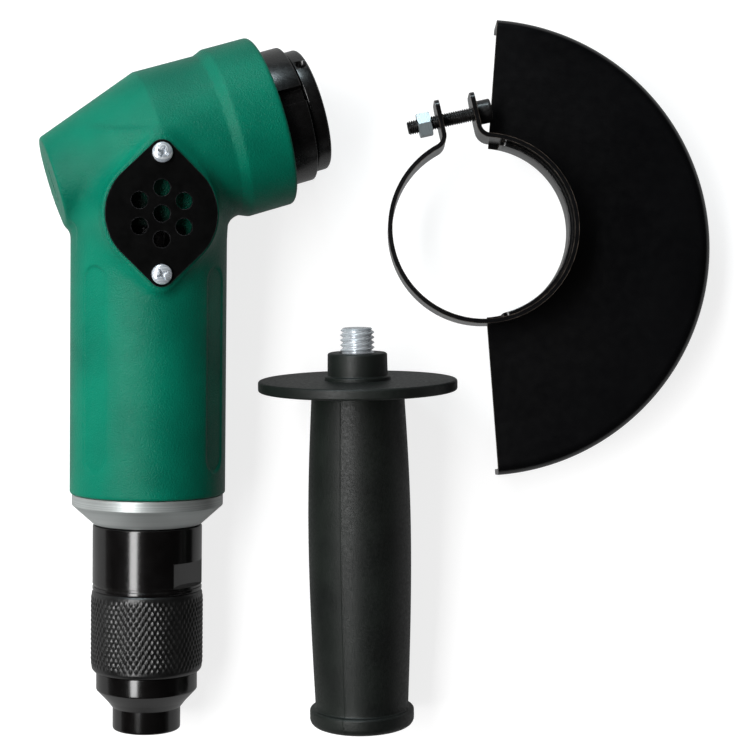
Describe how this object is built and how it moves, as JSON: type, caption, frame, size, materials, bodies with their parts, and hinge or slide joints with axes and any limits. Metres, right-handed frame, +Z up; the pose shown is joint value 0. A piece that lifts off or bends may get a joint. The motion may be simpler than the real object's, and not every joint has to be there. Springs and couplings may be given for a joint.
{
  "type": "pneumatic angle grinder with side handle and wheel guard",
  "caption": "Compressed-air angle grinder with a bevel head and twist throttle, laid flat beside its threaded side handle and its half-round wheel guard with clamp band.",
  "frame": {"origin": "centre of the whole layout's bounding box, on the floor that the tool, handle and guard lie on", "axes": "+Z up from the floor, +Y along the body from the air inlet towards the head, +X from the tool towards the guard"},
  "size_m": [0.2366, 0.254, 0.0716],
  "materials": {
    "casting_paint": "fine textured green enamel on a casting",
    "black_steel": "black oxide, satin",
    "bright_steel": "ground and turned",
    "zinc_steel": "zinc plated",
    "bare_aluminium": "turned, satin",
    "bronze": "machined",
    "rubber": "matt",
    "vane_laminate": "pressed laminate",
    "black_plastic": "satin moulding"
  },
  "bodies": {
    "tool": {"gear_housing": "casting_paint", "rear_plug": "casting_paint", "exhaust_gasket": "rubber", "exhaust_cover": "black_steel", "cover_screws": "zinc_steel", "bearing_cap": "black_steel", "spindle_seal": "rubber", "front_bearing": "bright_steel", "rear_bearing": "bright_steel", "front_end_plate": "black_steel", "motor_cylinder": "bright_steel", "rear_end_plate": "black_steel", "rotor_bearings": "bright_steel", "preload_washer": "bright_steel", "lock_ring": "bare_aluminium", "throttle_body": "black_steel", "sleeve_seals": "rubber", "valve_spring": "bright_steel", "inlet_bush": "black_steel", "inlet_strainer": "bronze"},
    "spindle": {"spindle": "bright_steel", "spindle_races": "bright_steel", "bevel_gear": "bright_steel", "gear_key": "bright_steel", "gear_circlip": "black_steel", "wheel_flange": "black_steel"},
    "rotor": {"rotor": "bright_steel", "vanes": "vane_laminate", "bevel_pinion": "bright_steel", "pinion_key": "bright_steel", "pinion_screw": "black_steel", "rotor_races": "bright_steel"},
    "throttle": {"throttle_sleeve": "black_steel", "throttle_valve": "bright_steel", "drive_pin": "bright_steel"},
    "side_handle": {"handle_grip": "black_plastic", "hand_guard_disc": "black_plastic", "handle_collar": "black_plastic", "handle_stud": "zinc_steel"},
    "wheel_guard": {"guard_shell": "black_steel", "clamp_band": "black_steel"},
    "clamp_screw": {"clamp_screw": "black_steel"},
    "clamp_nut": {"clamp_nut": "zinc_steel"}
  },
  "joints": [
    {"name": "spindle_spin", "type": "hinge", "parent": "tool", "child": "spindle", "pos_m": [-0.0801, 0.07469, 0.03843], "axis": [0.9296, 0.303, -0.2097], "continuous": true},
    {"name": "rotor_spin", "type": "hinge", "parent": "tool", "child": "rotor", "pos_m": [-0.0801, 0.07469, 0.03843], "axis": [-0.0122, -0.9951, -0.0978], "continuous": true},
    {"name": "throttle_turn", "type": "hinge", "parent": "tool", "child": "throttle", "pos_m": [-0.0801, 0.07469, 0.03843], "axis": [-0.0122, -0.9951, -0.0978], "range_deg": [0, 60]},
    {"name": "side_handle_lift", "type": "slide", "parent": "tool", "child": "side_handle", "axis": [0, 0, 1], "range_m": [0, 0.1]},
    {"name": "wheel_guard_lift", "type": "slide", "parent": "tool", "child": "wheel_guard", "axis": [0, 0, 1], "range_m": [0, 0.1]},
    {"name": "clamp_screw_turn", "type": "hinge", "parent": "wheel_guard", "child": "clamp_screw", "pos_m": [0.03428, 0.09096, 0.0284], "axis": [-0.9763, -0.2164, 0], "range_deg": [0, 1030]},
    {"name": "clamp_nut_travel", "type": "slide", "parent": "wheel_guard", "child": "clamp_nut", "axis": [0.9763, 0.2164, 0], "range_m": [0, 0.00228]}
  ],
  "couplings": [
    {"joint": "rotor_spin", "follows": "spindle_spin", "ratio": -2.0909},
    {"joint": "clamp_screw_turn", "follows": "clamp_nut_travel", "rad_per_m": 7854}
  ]
}
